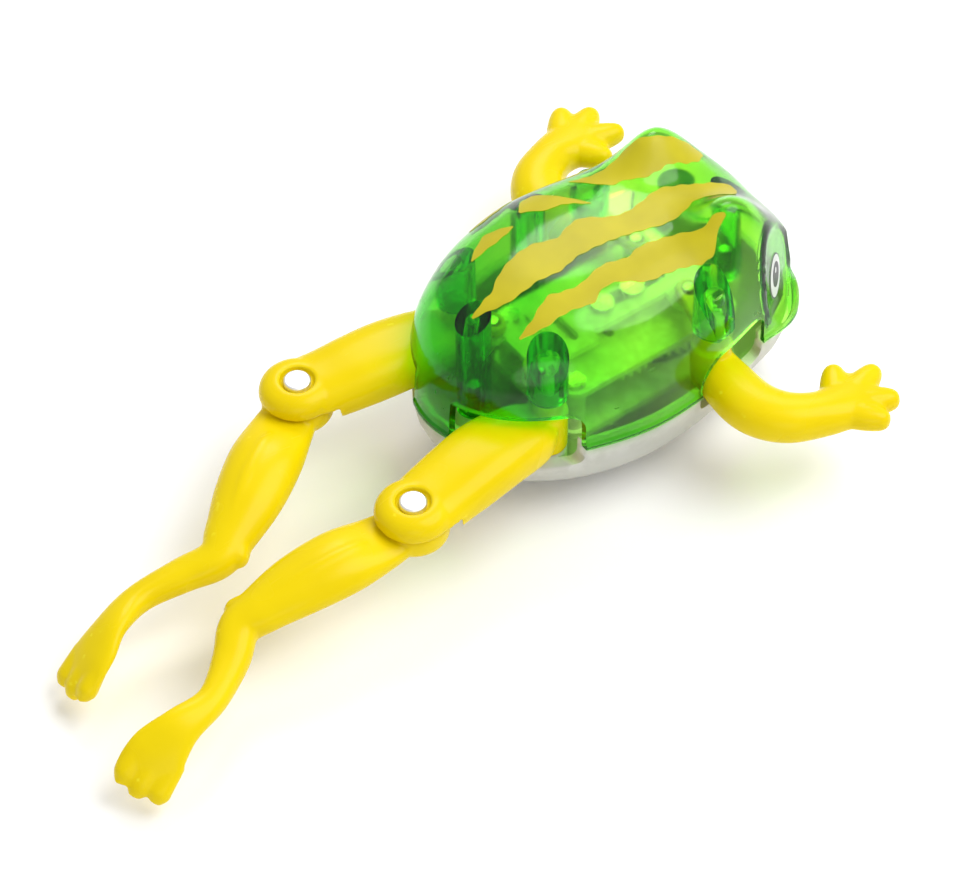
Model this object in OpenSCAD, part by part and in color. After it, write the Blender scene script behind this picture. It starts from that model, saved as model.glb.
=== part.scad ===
// Wind-up swimming frog: a clear two-part casing holds a clockwork motor. The motor's crank
// pushes a yoke to and fro, and the yoke's pins swing both thighs and both arms together.
// Units are mm. The head points to -Y, the tail to +Y, and the belly rests on z = 0.

/* [Casing] */
// Length of the casing from snout to tail
body_l = 71.3; // [62:0.1:86]
// Greatest width of the casing
body_w = 46.8; // [46:0.1:57]
// Height of the back above the table
back_z = 41; // [38:0.1:50]
// Height of the joint between the two casing halves
rim_z = 16.4; // [15.5:0.1:17]
// Wall thickness of both casing halves
wall = 1.2; // [0.9:0.1:1.4]
// How far each eye bulge stands above the back
eye_h = 8.2; // [6:0.1:11]
// Distance of each eye bulge from the centreline
eye_x = 11.4; // [9:0.1:13]
// Height of the thigh openings above the joint of the casing
window_h = 8.4; // [8.2:0.1:9]
// Height of the arm openings above the joint of the casing
arm_window_h = 6.6; // [6:0.1:8]
// Depth of the knob's recess in the belly
recess_h = 6; // [5:0.1:6.2]

/* [Limbs] */
// Distance of each hip axis from the centreline
hip_x = 13.1; // [12.6:0.1:14]
// Distance of the hip axes from the tail
hip_setback = 15.3; // [14:0.1:18]
// Distance of each shoulder axis from the side of the casing
shoulder_inset = 6; // [6:0.1:6.6]
// Distance of the shoulder axes from the snout
shoulder_setback = 24.6; // [22:0.1:27]
// Length of the thigh from hip to knee
thigh_l = 30.5; // [25:0.1:37]
// Width of the thigh
thigh_w = 14; // [11:0.1:14.6]
// Length of the shank from knee to ankle
shank_l = 34; // [28:0.1:41]
// Length of the foot from ankle to toes
foot_l = 33; // [27:0.1:40]
// Width of the webbed foot
foot_w = 10.4; // [8:0.1:13]
// Reach of the arm from its shoulder to its elbow
arm_l = 15.4; // [13:0.1:18]
// Radius of the lap ends at the knee
knee_r = 6.6; // [5.8:0.1:7.2]
// Radius of the knee rivet's shank
rivet_r = 1.5; // [1.2:0.1:2]
// Radius of the hip and shoulder posts
post_r = 2; // [1.7:0.1:2.3]

/* [Pose] */
// Outward splay of the thighs
splay = 7; // [0:1:12]
// Inward fold of the right knee
fold_right = 9.7; // [0:0.1:14]
// Inward fold of the left knee
fold_left = 40.2; // [0:0.1:42]

/* [Clockwork] */
// Gear module
gear_m = 0.5; // [0.4:0.05:0.5]
// Teeth of the great wheel
great_t = 40; // [36:4:40]
// Teeth of the second wheel
second_t = 32; // [28:1:32]
// Teeth of the crank wheel
crank_t = 24; // [20:4:24]
// Teeth of the pinions on the second and crank gears
pinion_t = 10; // [10:1:12]
// Teeth of the governor pinion
gov_t = 8; // [8:1:10]
// Travel of the yoke from end to end
stroke = 5.32; // [4:0.02:5.4]
// Distance from hip axis to yoke pin across the body
hip_lever = 7; // [6.4:0.1:7.4]
// Distance from shoulder axis to yoke pin across the body
arm_lever = 10.1; // [9:0.1:10.4]
// Radius of the winding knob
knob_r = 9; // [7:0.1:9.4]

/* [Fits] */
// Radial clearance of turning parts
run_fit = 0.08; // [0.05:0.01:0.1]
// Radial clearance of parts that stay put
seat_fit = 0.05; // [0.03:0.01:0.08]
// Gap between faces that pass each other
face_gap = 0.3; // [0.2:0.05:0.4]
// Gap on each side of a yoke pin in its slot
slot_gap = 0.15; // [0.12:0.01:0.2]

/* [Hidden] */

// Outline of the casing seen from above: radius every 20 degrees from tail to snout
outline_r = [34.5, 32.4, 28.4, 25.2, 23.7, 23.4, 25, 29, 37, 36.8];
sx = body_w / 46.8;
sy = body_l / 71.3;
tail_y = outline_r[0] * sy;
snout_y = -outline_r[9] * sy;
around = 48;
dome_power = 3.6;
bowl_power = 2.4;
lip_h = 1.2;
lip_out = 0.35;

// Limb axes and levels
hip_y = tail_y - hip_setback;
shoulder_x = body_w / 2 - shoulder_inset;
shoulder_y = snout_y + shoulder_setback;
hub_r = post_r + 2.2;
hub_z = rim_z - 3;
limb_top = rim_z + 5.7;
limb_base = rim_z - 2.4;
lap_z = rim_z + 2.2;
rivet_z = rim_z + 5.6;
notch_z = rim_z - 3.6;

// Clockwork levels, from the base plate up
plate_h = 1.3;
base_z = 8;
spring_z = base_z + plate_h + 0.4;
spring_h = 3.5;
great_z = spring_z + spring_h + 0.4;
great_h = 1.2;
click_z = great_z + great_h + 0.2;
click_h = 0.9;
second_z = click_z + click_h + 0.4;
second_h = 1.1;
top_z = second_z + second_h + 0.5;
disc_z = top_z + plate_h + face_gap;
disc_h = 1.2;
yoke_z = disc_z + disc_h + 0.4;
yoke_h = 1.4;
lever_z = yoke_z + yoke_h + 0.5;
lever_h = 2;
pin_r = 1;
hub_top = lever_z + lever_h + 0.2;

// Clockwork axes: each pair stands at its gears' pitch distance
great_r = gear_m * great_t / 2;
second_r = gear_m * second_t / 2;
crank_r = gear_m * crank_t / 2;
pinion_r = gear_m * pinion_t / 2;
gov_r = gear_m * gov_t / 2;
great_at = [0, -13];
second_turn = 106.3;
second_at = great_at + (great_r + pinion_r) * [cos(second_turn), sin(second_turn)];
crank_turn = acos(-second_at[0] / (second_r + pinion_r));
crank_at = second_at + (second_r + pinion_r) * [cos(crank_turn), sin(crank_turn)];
gov_turn = -26;
gov_at = crank_at + (crank_r + gov_r) * [cos(gov_turn), sin(gov_turn)];
arbor_r = 1.5;
shaft_r = 0.8;
plate_x = 12;
plate_y0 = -23;
plate_y1 = 13;
pillar_at = [[-10, -20.5], [10, -20.5], [-9.4, 10.5], [9.4, 10.5]];
pillar_r = 1.8;
screw_r = 1;

// Yoke pins stand half a stroke behind the limb axes at rest
hip_pin = [hip_x - hip_lever, hip_y - stroke / 2];
arm_pin = [shoulder_x - arm_lever, shoulder_y - stroke / 2];
hip_lever_turn = atan(stroke / 2 / hip_lever);
arm_lever_turn = atan(stroke / 2 / arm_lever);
crank_pin = crank_at - [0, stroke / 2];

// Casing screws: tail, left side and snout
screw_at = [[0, hip_y + 5.6], [shoulder_x - 1.8, 2.2], [0, snout_y + 8.3]];
screw_joint_z = rim_z - 2.4;

// Places and sizes that several pieces share
thigh_inner_x = 5;
boss_r = 3.5;
screw_boss_r = 3;
casing_screw_r = 1.1;
screw_seat_z = 6;
motor_screw_z = 3;
rim_fit = 0.1;
lip_fit = 0.15;
backlash = 0.06;
eye_y = -22;
click_pivot = [0, 6.2];
spring_foot = [-6.2, 0];
crank_wheel_z = great_z - 1.3;
crank_pin_r = 0.9;
guide_r = 1.2;
guide_at = [[0, -2.2], [0, -8.6]];
yoke_end = hip_pin[1] - 0.7;
rivet_head_r = 2.35;
knee_z = rim_z - 2.5;
ankle_x = 0;
ankle_z = rim_z - 3.6;
foot_roll = -26;

/* helpers: smooth curves and lofts */

function curve_point(a, b, c, d, t) =
    0.5 * (2 * b + (c - a) * t + (2 * a - 5 * b + 4 * c - d) * t * t
    + (3 * b - a - 3 * c + d) * t * t * t);

// Stations of a loft, with k steps from one to the next
function smoothed(s, k) = [
    for (i = [0:len(s) - 2]) for (j = [0:k - 1])
        curve_point(s[max(i - 1, 0)], s[i], s[i + 1], s[min(i + 2, len(s) - 1)], j / k),
    s[len(s) - 1]];

function unit(v) = v / norm(v);
function spot(s) = [s[0], s[1], s[2]];
function soft(v, n) = sign(v) * pow(abs(v), 2 / n);

// One ring of a station [x, y, z, width, height above, height below, roundness, roll]
function ring(s, along, m) =
    let (side0 = unit(cross(along, [0, 0, 1])), up0 = cross(side0, along),
        side = side0 * cos(s[7]) + up0 * sin(s[7]), up = up0 * cos(s[7]) - side0 * sin(s[7]))
    [for (i = [0:m - 1])
        let (a = 360 * i / m, c = soft(cos(a), s[6]), h = soft(sin(a), s[6]))
        spot(s) + side * s[3] / 2 * c + up * (h > 0 ? s[4] : s[5]) * h];

function rings(s, m) = [
    for (i = [0:len(s) - 1])
        let (a = spot(s[max(i - 1, 0)]), b = spot(s[min(i + 1, len(s) - 1)]))
        ring(s[i], unit(b - a), m)];

function middle(r) = [for (k = [0:2]) [for (p = r) 1] * [for (p = r) p[k]] / len(r)];

// A closed solid through a list of rings of m points each, its two ends closed by fans
module skin(list, m) {
    n = len(list);
    points = concat([for (r = list) for (p = r) p], [middle(list[0]), middle(list[n - 1])]);
    sides = [for (k = [0:n - 2]) for (i = [0:m - 1])
        let (j = (i + 1) % m)
        each [[k * m + i, k * m + j, (k + 1) * m + j],
            [k * m + i, (k + 1) * m + j, (k + 1) * m + i]]];
    first = [for (i = [0:m - 1]) [n * m, (i + 1) % m, i]];
    last = [for (i = [0:m - 1]) [n * m + 1, (n - 1) * m + i, (n - 1) * m + (i + 1) % m]];
    polyhedron(points = points, faces = concat(first, sides, last), convexity = 6);
}

module loft(stations, k, m) {
    skin(rings(smoothed(stations, k), m), m);
}

module mirrored_if(flip) {
    if (flip) mirror([1, 0, 0]) children();
    else children();
}

module tube(r, bore, z0, z1) {
    translate([0, 0, z0]) difference() {
        cylinder(r = r, h = z1 - z0, $fn = 48);
        translate([0, 0, -1]) cylinder(r = bore, h = z1 - z0 + 2, $fn = 48);
    }
}

module rod(r, z0, z1) {
    translate([0, 0, z0]) cylinder(r = r, h = z1 - z0, $fn = 48);
}

// An outline of round corners, x by y, from its own middle
module round_box(x, y, r, h) {
    translate([-x / 2 + r, -y / 2, 0]) cube([x - 2 * r, y, h]);
    translate([-x / 2, -y / 2 + r, 0]) cube([x, y - 2 * r, h]);
    for (i = [-1, 1], j = [-1, 1]) translate([i * (x / 2 - r), j * (y / 2 - r), 0])
        cylinder(r = r, h = h, $fn = 32);
}

/* casing surfaces */

// Radius of the outline at angle a from the tail, either way round
function outline_at(a) =
    let (b = abs(a) > 180 ? 360 - abs(a) : abs(a), n = len(outline_r) - 1,
        t = min(b / 20, n - 0.0001), i = floor(t))
    curve_point(outline_r[i == 0 ? 1 : i - 1], outline_r[i], outline_r[i + 1],
        outline_r[i + 2 > n ? n - 1 : i + 2], t - i);

// How far out a place is: 0 at the middle and 1 at the outline moved in by d
function reach(x, y, d) =
    let (p = [x / sx, y / sy]) norm(p) / (outline_at(atan2(p[0], p[1])) - d);

function bump(x, y, w, l) = exp(-(x * x) / (w * w) - (y * y) / (l * l));

function crown(x, y) =
    back_z - 0.0026 * pow(y / sy - 2, 2) - 0.006 * x * x
    + eye_h * (bump(x - eye_x, y / sy - eye_y, 6.4, 8.4) + bump(x + eye_x, y / sy - eye_y, 6.4, 8.4));

function dome(x, y, d) =
    let (s = min(reach(x, y, d), 1))
    rim_z + (crown(x, y) - d - rim_z) * pow(1 - pow(s, dome_power), 1 / dome_power);

function bowl(x, y, d) =
    let (s = min(reach(x, y, d), 1))
    max(0, rim_z - (rim_z + 1.5) * pow(1 - pow(s, bowl_power), 1 / bowl_power));

// Points all round at share s of the outline moved in by d
function round_at(s, d) = [
    for (i = [0:around - 1])
        let (a = i * 360 / around, r = s * (outline_at(a) - d))
        [r * sin(a) * sx, r * cos(a) * sy]];

shares = [0.12, 0.26, 0.4, 0.52, 0.62, 0.71, 0.79, 0.86, 0.915, 0.955, 0.98, 0.995];
shares_in = [for (i = [len(shares) - 1:-1:0]) shares[i]];

function level(s, d, z) = [for (p = round_at(s, d)) [p[0], p[1], z]];
function dome_ring(s, d) = [for (p = round_at(s, d)) [p[0], p[1], dome(p[0], p[1], d)]];
function bowl_ring(s, d, up) = [for (p = round_at(s, d)) [p[0], p[1], bowl(p[0], p[1], d) + up]];

// Top half: up the inside and down the outside, with a proud lip at the rim
module dome_skin() {
    skin(concat(
        [for (s = shares) dome_ring(s, wall)],
        [level(1, wall, rim_z), level(1, -lip_out, rim_z), level(1, -lip_out, rim_z + lip_h),
            level(1, 0, rim_z + lip_h + 0.3)],
        [for (s = shares_in) dome_ring(s, 0)]), around);
}

// Solid filling of the dome's outer surface, for cutting bosses to length
module dome_fill(d) {
    skin(concat([level(1, d, rim_z - 6), level(1, d, rim_z)],
        [for (s = shares_in) dome_ring(s, d)]), around);
}

// Bottom half: up the outside, in over the rim, up a locating lip and down the inside
module bowl_skin() {
    skin(concat(
        [for (s = shares) bowl_ring(s, rim_fit, 0)],
        [level(1, rim_fit, rim_z - 0.1), level(1, wall + lip_fit, rim_z - 0.1),
            level(1, wall + lip_fit, rim_z + 1.4), level(1, wall + lip_fit + 0.9, rim_z + 1.4)],
        [for (s = shares_in) bowl_ring(s, wall + lip_fit + 0.9, wall)]), around);
}

// Solid filling of the bowl's outer surface, carried up past the rim
module bowl_fill() {
    skin(concat([for (s = shares) bowl_ring(s, 0.5, 0.2)],
        [level(1, 0.5, rim_z), level(1, 0.5, rim_z + 20)]), around);
}

// Openings for the limbs, cut in both halves on both sides
module windows() {
    for (side = [0, 1]) mirrored_if(side == 1) {
        window(thigh_inner_x, hip_y - 2.6, tail_y + 20, rim_z + window_h);
        window(shoulder_x - 4, shoulder_y - 10.6, shoulder_y + 5.9, rim_z + arm_window_h);
    }
}

module window(x0, y0, y1, z1) {
    translate([x0, 0, 0]) rotate([90, 0, 90]) linear_extrude(40)
        translate([y0 + 1.5, notch_z + 1.5]) offset(r = 1.5, $fn = 24)
        square([y1 - y0 - 3, z1 - notch_z - 3]);
}

limb_at = [for (i = [-1, 1]) each [[i * hip_x, hip_y], [i * shoulder_x, shoulder_y]]];

module at_each(places) {
    for (p = places) translate([p[0], p[1], 0]) children();
}

module top_shell() {
    color([0.1, 0.62, 0.13, 0.5]) {
        difference() {
            dome_skin();
            windows();
        }
        difference() {
            intersection() {
                union() {
                    at_each(limb_at) rod(boss_r, hub_top + face_gap, back_z + 10);
                    at_each(screw_at) rod(screw_boss_r, screw_joint_z, back_z + 10);
                }
                dome_fill(wall / 2);
            }
            for (p = limb_at) translate([p[0], p[1], 0])
                rod(post_r + seat_fit, hub_top - 1, dome(p[0], p[1], 0) - wall - 0.2);
            at_each(screw_at) rod(casing_screw_r + seat_fit, screw_joint_z - 1, screw_joint_z + 9);
        }
    }
}

module bottom_shell() {
    color([0.93, 0.92, 0.88]) {
        difference() {
            union() {
                difference() {
                    bowl_skin();
                    windows();
                }
                intersection() {
                    union() {
                        at_each([great_at]) rod(knob_r + 1.4 + wall, 0, recess_h + wall);
                        at_each(screw_at) rod(screw_boss_r, 0, screw_joint_z - 0.1);
                        at_each(limb_at) rod(boss_r, 0, hub_z - 0.2);
                        at_each(pillar_at) rod(2.6, 0, base_z);
                    }
                    bowl_fill();
                }
            }
            at_each([great_at]) rod(knob_r + 1.4, -1, recess_h);
            at_each([great_at]) rod(arbor_r + run_fit, 0, base_z + 1);
            at_each(screw_at) rod(2.6, -1, screw_seat_z);
            at_each(screw_at) rod(casing_screw_r + 0.15, 0, rim_z);
            at_each(pillar_at) rod(screw_r + seat_fit, motor_screw_z - 0.3, base_z + 1);
        }
        at_each(limb_at) rod(post_r, hub_z - 0.7, hub_top + 2.2);
    }
}

module casing_screws() {
    color("silver") at_each(screw_at) {
        rod(2.2, screw_seat_z - 1.6, screw_seat_z);
        rod(casing_screw_r, screw_seat_z - 0.1, screw_joint_z + 7);
    }
}

/* winding */

module winding_knob() {
    color([0.93, 0.92, 0.88]) at_each([great_at]) difference() {
        rotate_extrude($fn = 64) polygon([[0, 0.6], [knob_r - 1, 0.6], [knob_r, 1.4],
            [knob_r, recess_h - 0.9], [knob_r - 0.5, recess_h - 0.4], [0, recess_h - 0.4]]);
        for (a = [0:22.5:359]) rotate(a) translate([knob_r + 0.5, 0, 0])
            rod(1.1, 0, recess_h);
        for (a = [0, 180]) rotate(a) translate([knob_r * 0.24, 1.6, -1])
            cube([knob_r * 0.5, knob_r * 0.4, 3]);
        for (a = [0, 180]) rotate(a) translate([knob_r * 0.24, -1.6 - knob_r * 0.4, -1])
            cube([knob_r * 0.5, knob_r * 0.4, 3]);
        rod(arbor_r + seat_fit, 2, recess_h + 1);
    }
}

module knob_seal() {
    color([0.15, 0.15, 0.15]) at_each([great_at]) translate([0, 0, recess_h + wall + 0.4])
        rotate_extrude($fn = 48) translate([arbor_r + run_fit + 0.37, 0]) circle(r = 0.37, $fn = 24);
}

module winding_arbor() {
    color("lightgray") at_each([great_at]) rod(arbor_r, 2.2, top_z + plate_h);
}

module ratchet_wheel() {
    teeth = 12;
    color("lightgray") at_each([great_at]) translate([0, 0, click_z]) difference() {
        linear_extrude(click_h) polygon([for (i = [0:teeth - 1]) let (a = i * 360 / teeth)
            each [3.6 * [cos(a), sin(a)], 2.9 * [cos(a + 4), sin(a + 4)]]]);
        translate([0, 0, -1]) cylinder(r = arbor_r + seat_fit, h = 4, $fn = 48);
    }
}

// Spiral strip from the arbor out to the first pillar
module mainspring() {
    turns = 6;
    r0 = arbor_r + 0.4;
    r1 = 8.6;
    strip = 0.25;
    steps = turns * 24;
    spiral = [for (i = [0:steps]) let (a = i * 360 / 24, r = r0 + (r1 - r0) * i / steps)
        [r, a]];
    color("steelblue") at_each([great_at]) translate([0, 0, spring_z]) linear_extrude(spring_h)
        polygon(concat([for (p = spiral) p[0] * [cos(p[1]), sin(p[1])]],
            [for (i = [steps:-1:0]) let (p = spiral[i]) (p[0] + strip) * [cos(p[1]), sin(p[1])]]));
}

/* gears */

function involute(rb, t) = [rb * (cos(t) + t * PI / 180 * sin(t)), rb * (sin(t) - t * PI / 180 * cos(t))];
function turned(p, a) = [p[0] * cos(a) - p[1] * sin(a), p[0] * sin(a) + p[1] * cos(a)];
function roll_to(rb, r) = sqrt(max(0, r * r / (rb * rb) - 1)) * 180 / PI;

// Involute outline with its first tooth on the +X axis, thinned by the backlash
function gear_points(teeth) =
    let (rp = gear_m * teeth / 2, rb = rp * cos(20), tip = rp + 0.9 * gear_m,
        root = rp - 1.15 * gear_m, start = max(rb, root),
        t_p = roll_to(rb, rp), lead = t_p - atan(t_p * PI / 180),
        half = 90 / teeth - backlash / rp * 90 / PI + lead,
        flank = [for (k = [0:4]) let (t = roll_to(rb, start + (tip - start) * k / 4))
            turned(involute(rb, t), -half)])
    [for (i = [0:teeth - 1]) let (a = i * 360 / teeth)
        each concat([turned([root * cos(half), -root * sin(half)], a)],
            [for (p = flank) turned(p, a)],
            [for (k = [4:-1:0]) turned([flank[k][0], -flank[k][1]], a)],
            [turned([root * cos(half), root * sin(half)], a)])];

module gear(teeth, h, turn) {
    rotate(turn) linear_extrude(h) polygon(gear_points(teeth));
}

module great_wheel() {
    color("white") at_each([great_at]) {
        difference() {
            translate([0, 0, great_z]) gear(great_t, great_h, second_turn);
            rod(arbor_r + run_fit, great_z - 1, click_z + 2);
            for (a = [150, 210, 270, 330]) rotate(a) translate([great_r * 0.62, 0, 0])
                rod(great_r * 0.18, great_z - 1, great_z + 3);
        }
        translate(click_pivot) rod(0.6, great_z + 0.5, click_z + click_h);
        translate(spring_foot) rod(0.6, great_z + 0.5, click_z + click_h);
    }
}

module click() {
    color("lightgray") at_each([great_at]) translate([0, 0, click_z]) linear_extrude(click_h)
        difference() {
            union() {
                translate(click_pivot) circle(r = 1.1, $fn = 32);
                polygon([click_pivot + [-1, -0.2], click_pivot + [1, -0.3],
                    [-1.7, 4.1], [-2.1, 3.25], [-2.9, 3.2]]);
            }
            translate(click_pivot) circle(r = 0.6 + run_fit, $fn = 32);
        }
}

module click_spring() {
    color("steelblue") at_each([great_at]) translate([0, 0, click_z + 0.2]) linear_extrude(0.4)
        difference() {
            union() {
                translate(spring_foot) circle(r = 0.95, $fn = 32);
                polygon([spring_foot + [-0.2, -0.8], spring_foot + [0.1, -0.9],
                    [-3.3, 3.9], [-3.55, 3.8]]);
            }
            translate(spring_foot) circle(r = 0.6 + seat_fit, $fn = 32);
        }
}

module shaft(at, r, z1) {
    color("silver") at_each([at]) rod(r, base_z + 0.1, z1);
}

module second_shaft() {
    shaft(second_at, shaft_r, top_z + plate_h);
}

module second_gear() {
    color("white") at_each([second_at]) difference() {
        union() {
            translate([0, 0, great_z - 0.3])
                gear(pinion_t, second_z - great_z + 0.5, second_turn + 180 + 180 / pinion_t);
            translate([0, 0, second_z]) gear(second_t, second_h, crank_turn);
            rod(1.5, spring_z, great_z);
        }
        rod(shaft_r + run_fit, base_z, top_z);
    }
}

module crank_shaft() {
    shaft(crank_at, shaft_r, disc_z + disc_h);
}

module crank_gear() {
    color("white") at_each([crank_at]) difference() {
        union() {
            translate([0, 0, crank_wheel_z]) gear(crank_t, second_h, gov_turn);
            rod(1.7, spring_z, second_z);
            translate([0, 0, second_z - 0.3])
                gear(pinion_t, second_h + 0.5, crank_turn + 180 + 180 / pinion_t);
        }
        rod(shaft_r + seat_fit, base_z, top_z);
    }
}

module crank_disc() {
    color("white") at_each([crank_at]) {
        difference() {
            rod(stroke / 2 + 1.7, disc_z, disc_z + disc_h);
            rod(shaft_r + seat_fit, disc_z - 1, disc_z + 2);
        }
        translate([0, -stroke / 2, 0]) rod(crank_pin_r, disc_z + 0.5, yoke_z - 0.2);
    }
}

module governor_shaft() {
    shaft(gov_at, 0.5, top_z + plate_h);
}

module governor() {
    color("white") at_each([gov_at]) difference() {
        union() {
            translate([0, 0, crank_wheel_z - 0.3])
                gear(gov_t, second_h + 0.6, gov_turn + 180 + 180 / gov_t);
            rod(1.2, spring_z, crank_wheel_z);
            intersection() {
                rod(3, spring_z + 0.2, crank_wheel_z - 0.6);
                translate([-3.1, -1.4, 0]) cube([6.2, 2.8, 20]);
            }
        }
        rod(0.5 + run_fit, base_z, top_z);
    }
}

/* motor frame */

module motor_plate(z) {
    translate([0, 0, z]) difference() {
        translate([0, (plate_y0 + plate_y1) / 2, 0])
            round_box(2 * plate_x, plate_y1 - plate_y0, 2.5, plate_h);
        at_each([great_at]) rod(arbor_r + run_fit, -1, 3);
        at_each([second_at]) rod(shaft_r + seat_fit, -1, 3);
        at_each([crank_at]) rod(shaft_r + run_fit, -1, 3);
        at_each([gov_at]) rod(0.5 + seat_fit, -1, 3);
        at_each(pillar_at) rod(screw_r + seat_fit, -1, 3);
        children();
    }
}

module motor_base_plate() {
    color("white") motor_plate(base_z);
}

module motor_top_plate() {
    color("white") motor_plate(top_z) at_each(guide_at) rod(0.8 + seat_fit, -1, 3);
}

module motor_pillars() {
    color("white") at_each(pillar_at) tube(pillar_r, screw_r + seat_fit, base_z + plate_h, top_z);
}

module motor_screws() {
    color("silver") at_each(pillar_at) {
        rod(pillar_r, top_z + plate_h, top_z + plate_h + 1);
        rod(screw_r, motor_screw_z, top_z + plate_h + 0.5);
    }
}

/* yoke */

module yoke() {
    color("white") translate([0, 0, yoke_z]) difference() {
        union() {
            translate([-4, arm_pin[1] - 2.2, 0]) cube([8, yoke_end - arm_pin[1] + 2.2, yoke_h]);
            translate([-arm_pin[0], arm_pin[1] - 2.2, 0]) cube([2 * arm_pin[0], 4.4, yoke_h]);
            translate([-hip_pin[0], yoke_end - 3.4, 0]) cube([2 * hip_pin[0], 3.4, yoke_h]);
            translate([-6, crank_pin[1] - 3.6, 0]) cube([12, 7.2, yoke_h]);
            for (i = [-1, 1]) {
                translate([i * arm_pin[0], arm_pin[1], 0]) cylinder(r = 2.2, h = yoke_h, $fn = 32);
                translate([i * hip_pin[0], hip_pin[1], 0]) cylinder(r = 2.2, h = yoke_h, $fn = 32);
            }
        }
        for (i = [-1, 1], p = [arm_pin, hip_pin]) translate([i * p[0], p[1], 0])
            rod(pin_r + seat_fit, -1, 3);
        slot_cut([0, guide_at[1][1] - stroke], [0, guide_at[0][1]], guide_r + slot_gap);
        slot_cut(crank_pin - [stroke / 2, 0], crank_pin + [stroke / 2, 0], crank_pin_r + 0.2);
    }
}

// A slot with round ends from a to b, along X or along Y
module slot_cut(a, b, r) {
    for (p = [a, b]) translate([p[0], p[1], -1]) cylinder(r = r, h = 6, $fn = 32);
    translate([a[0] - (b[0] > a[0] ? 0 : r), a[1] - (b[1] > a[1] ? 0 : r), -1])
        cube([b[0] > a[0] ? b[0] - a[0] : 2 * r, b[1] > a[1] ? b[1] - a[1] : 2 * r, 6]);
}

module yoke_pins() {
    color("silver") for (i = [-1, 1], p = [arm_pin, hip_pin]) translate([i * p[0], p[1], 0])
        rod(pin_r, yoke_z, hub_top);
}

module yoke_guides() {
    color("silver") at_each(guide_at) {
        rod(0.8, top_z + 0.1, top_z + plate_h + 0.5);
        rod(guide_r, top_z + plate_h, yoke_z + yoke_h + 0.5);
        rod(2.1, yoke_z + yoke_h + 0.2, yoke_z + yoke_h + 0.8);
    }
}

/* limbs: each module makes the left one, with outward along +X */

// Sleeve on its post, with a slotted lever towards the yoke
module hub(lever, turn) {
    rod(hub_r, hub_z, limb_top);
    rod(post_r + 0.6, limb_top, hub_top);
    far = lever / cos(turn) + 0.3;
    rotate(180 + turn) translate([0, 0, lever_z]) {
        translate([0, -2.15, 0]) cube([far, 4.3, lever_h]);
        translate([far, 0, 0]) cylinder(r = 2.15, h = lever_h, $fn = 32);
    }
}

module hub_cuts(lever, turn) {
    rod(post_r + run_fit, hub_z - 1, hub_top + 1);
    far = lever / cos(turn) + 0.3;
    rotate(180 + turn) translate([0, 0, lever_z])
        slot_cut([lever - 0.3, 0], [far, 0], pin_r + slot_gap);
}

module thigh() {
    k = thigh_l;
    w = thigh_w;
    z = (limb_base + limb_top) / 2;
    t = (limb_top - limb_base) / 2;
    color([0.96, 0.88, 0.02]) difference() {
        union() {
            hub(hip_lever, hip_lever_turn);
            rotate(-splay) loft([
                [0, 1.5, z, 7.4, t * 0.8, t * 0.8, 2.6, 0],
                [-0.4, 6.5, z + 0.6, w * 0.86, t, t, 2.6, 0],
                [-0.6, 12, z + 1.1, w, t * 1.06, t * 1.06, 2.5, 0],
                [-0.5, k * 0.6, z + 0.8, w, t * 1.06, t * 1.06, 2.5, 0],
                [-0.3, k - 6, z + 0.3, w * 0.96, t, t, 2.5, 0],
                [0, k, z, 2 * knee_r, t * 0.98, t * 0.98, 2.5, 0],
                [0, k + knee_r * 0.62, z, knee_r * 1.56, t * 0.88, t * 0.9, 2.5, 0],
                [0, k + knee_r * 0.92, z, knee_r * 0.8, t * 0.64, t * 0.7, 2.3, 0],
                [0, k + knee_r, z + 1, 0.6, 0.6, 0.6, 2, 0]], 2, 24);
        }
        hub_cuts(hip_lever, hip_lever_turn);
        rotate(-splay) translate([0, k, 0]) {
            rod(rivet_r + seat_fit, 0, rivet_z + 1);
            rod(rivet_head_r + 0.8, rivet_z - 1, rivet_z + 2);
            rod(knee_r + 1.6, 0, lap_z);
            translate([-20, 0, 0]) cube([40, 20, lap_z]);
        }
    }
}

module knee_rivet() {
    color("silver") rotate(-splay) translate([0, thigh_l, 0]) {
        rod(rivet_head_r, rivet_z - 1, rivet_z);
        rod(rivet_r, knee_z - 0.6, rivet_z - 0.5);
        rod(rivet_head_r - 0.2, knee_z - 0.9, knee_z - 0.2);
    }
}

// Foot station: outward and along from the ankle as shares of the foot's length, with its
// drop, width, thickness and roll
function foot_at(out, along, drop, w, t, r) =
    [foot_l * out, shank_l + foot_l * along, ankle_z - drop, w, t, t, 2.3, r];

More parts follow.
